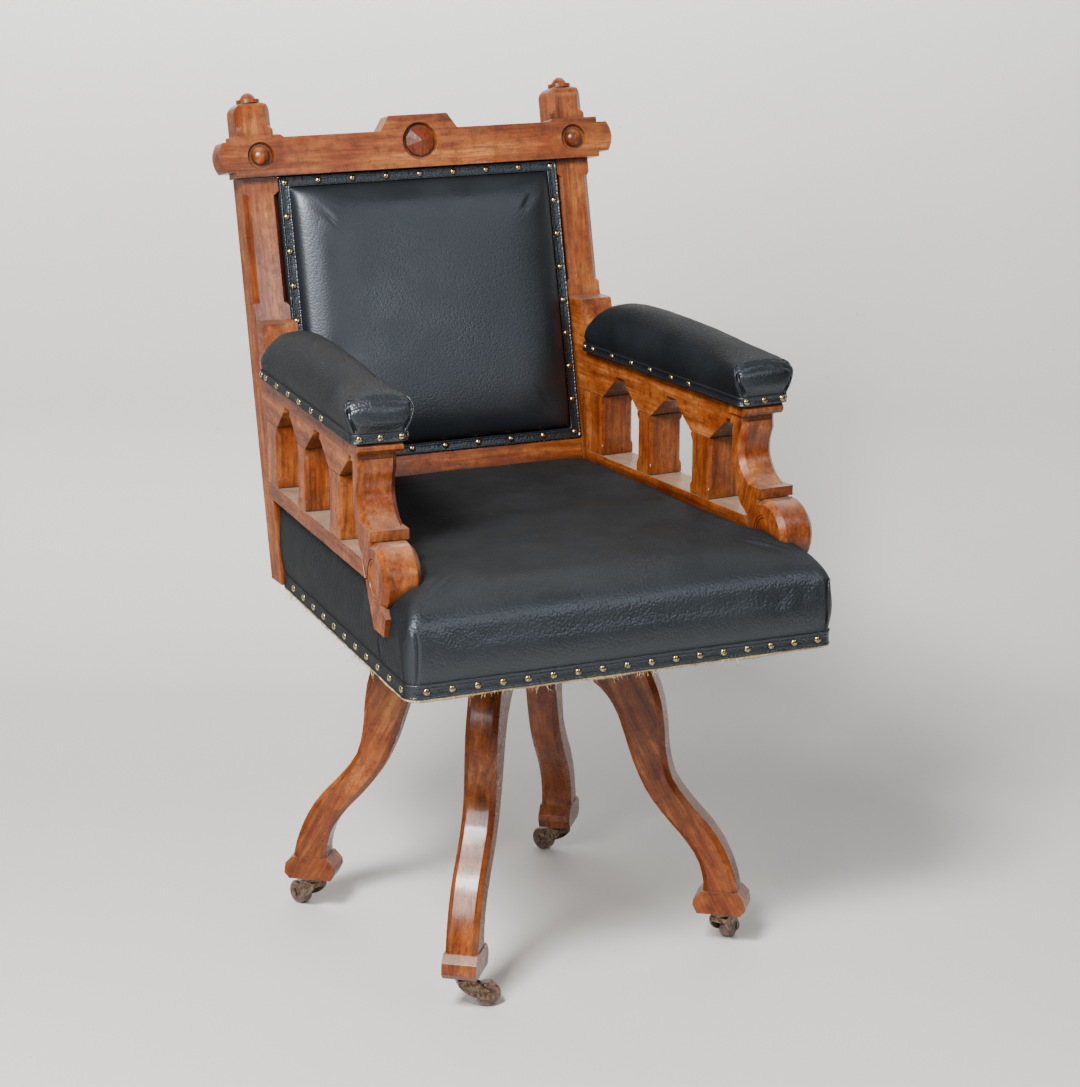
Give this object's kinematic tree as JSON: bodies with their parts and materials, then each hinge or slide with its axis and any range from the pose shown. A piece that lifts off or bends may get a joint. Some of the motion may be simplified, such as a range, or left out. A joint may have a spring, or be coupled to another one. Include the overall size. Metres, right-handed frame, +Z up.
{
  "type": "swivel armchair",
  "caption": "Oak swivel armchair with arcaded arms, scroll supports, stuffed leather seat, back and arm pads, and turned-out legs on castors.",
  "frame": {"origin": "centre of the bounding box's bottom face, on the floor under the castor wheels", "axes": "+Z up, the sitter faces -Y, +X to the right of a viewer who faces the chair"},
  "size_m": [0.5404, 0.6364, 0.9702],
  "materials": {
    "oak": "worn satin, warm orange-brown oak",
    "dark_oak": "polished darker turnings",
    "frame_wood": "plain sawn frame wood, unpolished",
    "leather": "grained near-black leather, soft sheen",
    "iron": "dull dark cast iron",
    "castor_brass": "dulled, browned brass",
    "ceramic": "brown glazed castor wheels",
    "hessian": "coarse hessian"
  },
  "bodies": {
    "base": {"hub_block": "oak", "leg_front": "oak", "leg_left": "oak", "leg_rear": "oak", "leg_right": "oak", "castor_plate_front": "castor_brass", "castor_plate_left": "castor_brass", "castor_plate_rear": "castor_brass", "castor_plate_right": "castor_brass", "swivel_socket": "iron"},
    "chair_top": {"swivel_spider": "iron", "swivel_spindle": "iron", "seat_front_rail": "frame_wood", "seat_side_rail_left": "frame_wood", "seat_side_rail_right": "frame_wood", "seat_rear_rail": "frame_wood", "seat_bearer_left": "frame_wood", "seat_bearer_right": "frame_wood", "seat_bottom_cloth": "hessian", "seat_cushion": "leather", "seat_band": "leather", "arm_rail_left": "oak", "arm_post_rear_left": "oak", "arm_post_middle_left": "oak", "arm_post_front_left": "oak", "arm_sill_rail_left": "oak", "arm_scroll_left": "oak", "roundel_outer_left": "oak", "roundel_inner_left": "oak", "arm_pad_left": "leather", "arm_pad_band_left": "leather", "stile_left": "oak", "crest_button_left": "dark_oak", "arm_rail_right": "oak", "arm_post_rear_right": "oak", "arm_post_middle_right": "oak", "arm_post_front_right": "oak", "arm_sill_rail_right": "oak", "arm_scroll_right": "oak", "roundel_outer_right": "oak", "roundel_inner_right": "oak", "arm_pad_right": "leather", "arm_pad_band_right": "leather", "stile_right": "oak", "crest_button_right": "dark_oak", "crest_rail": "oak", "crest_rosette": "dark_oak", "lower_back_rail": "oak", "back_pad": "leather", "back_pad_band": "leather", "outside_back": "leather"},
    "castor_front": {"castor_horn_front": "castor_brass"},
    "wheel_front": {"castor_wheel_front": "ceramic"},
    "castor_left": {"castor_horn_left": "castor_brass"},
    "wheel_left": {"castor_wheel_left": "ceramic"},
    "castor_rear": {"castor_horn_rear": "castor_brass"},
    "wheel_rear": {"castor_wheel_rear": "ceramic"},
    "castor_right": {"castor_horn_right": "castor_brass"},
    "wheel_right": {"castor_wheel_right": "ceramic"}
  },
  "joints": [
    {"name": "seat_swivel", "type": "hinge", "parent": "base", "child": "chair_top", "pos_m": [0, -0.02214, 0.396], "axis": [0, 0, 1], "continuous": true},
    {"name": "castor_swivel_front", "type": "hinge", "parent": "base", "child": "castor_front", "pos_m": [-0.15117, -0.2213, 0.038], "axis": [0, 0, 1], "continuous": true},
    {"name": "wheel_roll_front", "type": "hinge", "parent": "castor_front", "child": "wheel_front", "pos_m": [-0.12565, -0.22626, 0.0145], "axis": [0.1908, 0.9816, 0], "continuous": true},
    {"name": "castor_swivel_left", "type": "hinge", "parent": "base", "child": "castor_left", "pos_m": [-0.19916, 0.12903, 0.038], "axis": [0, 0, 1], "continuous": true},
    {"name": "wheel_roll_left", "type": "hinge", "parent": "castor_left", "child": "wheel_left", "pos_m": [-0.20741, 0.15369, 0.0145], "axis": [-0.9483, -0.3173, 0], "continuous": true},
    {"name": "castor_swivel_rear", "type": "hinge", "parent": "base", "child": "castor_rear", "pos_m": [0.15117, 0.17702, 0.038], "axis": [0, 0, 1], "continuous": true},
    {"name": "wheel_roll_rear", "type": "hinge", "parent": "castor_rear", "child": "wheel_rear", "pos_m": [0.14185, 0.20129, 0.0145], "axis": [-0.9336, -0.3584, 0], "continuous": true},
    {"name": "castor_swivel_right", "type": "hinge", "parent": "base", "child": "castor_right", "pos_m": [0.19916, -0.17331, 0.038], "axis": [0, 0, 1], "continuous": true},
    {"name": "wheel_roll_right", "type": "hinge", "parent": "castor_right", "child": "wheel_right", "pos_m": [0.21878, -0.15625, 0.0145], "axis": [-0.6561, 0.7547, 0], "continuous": true}
  ]
}
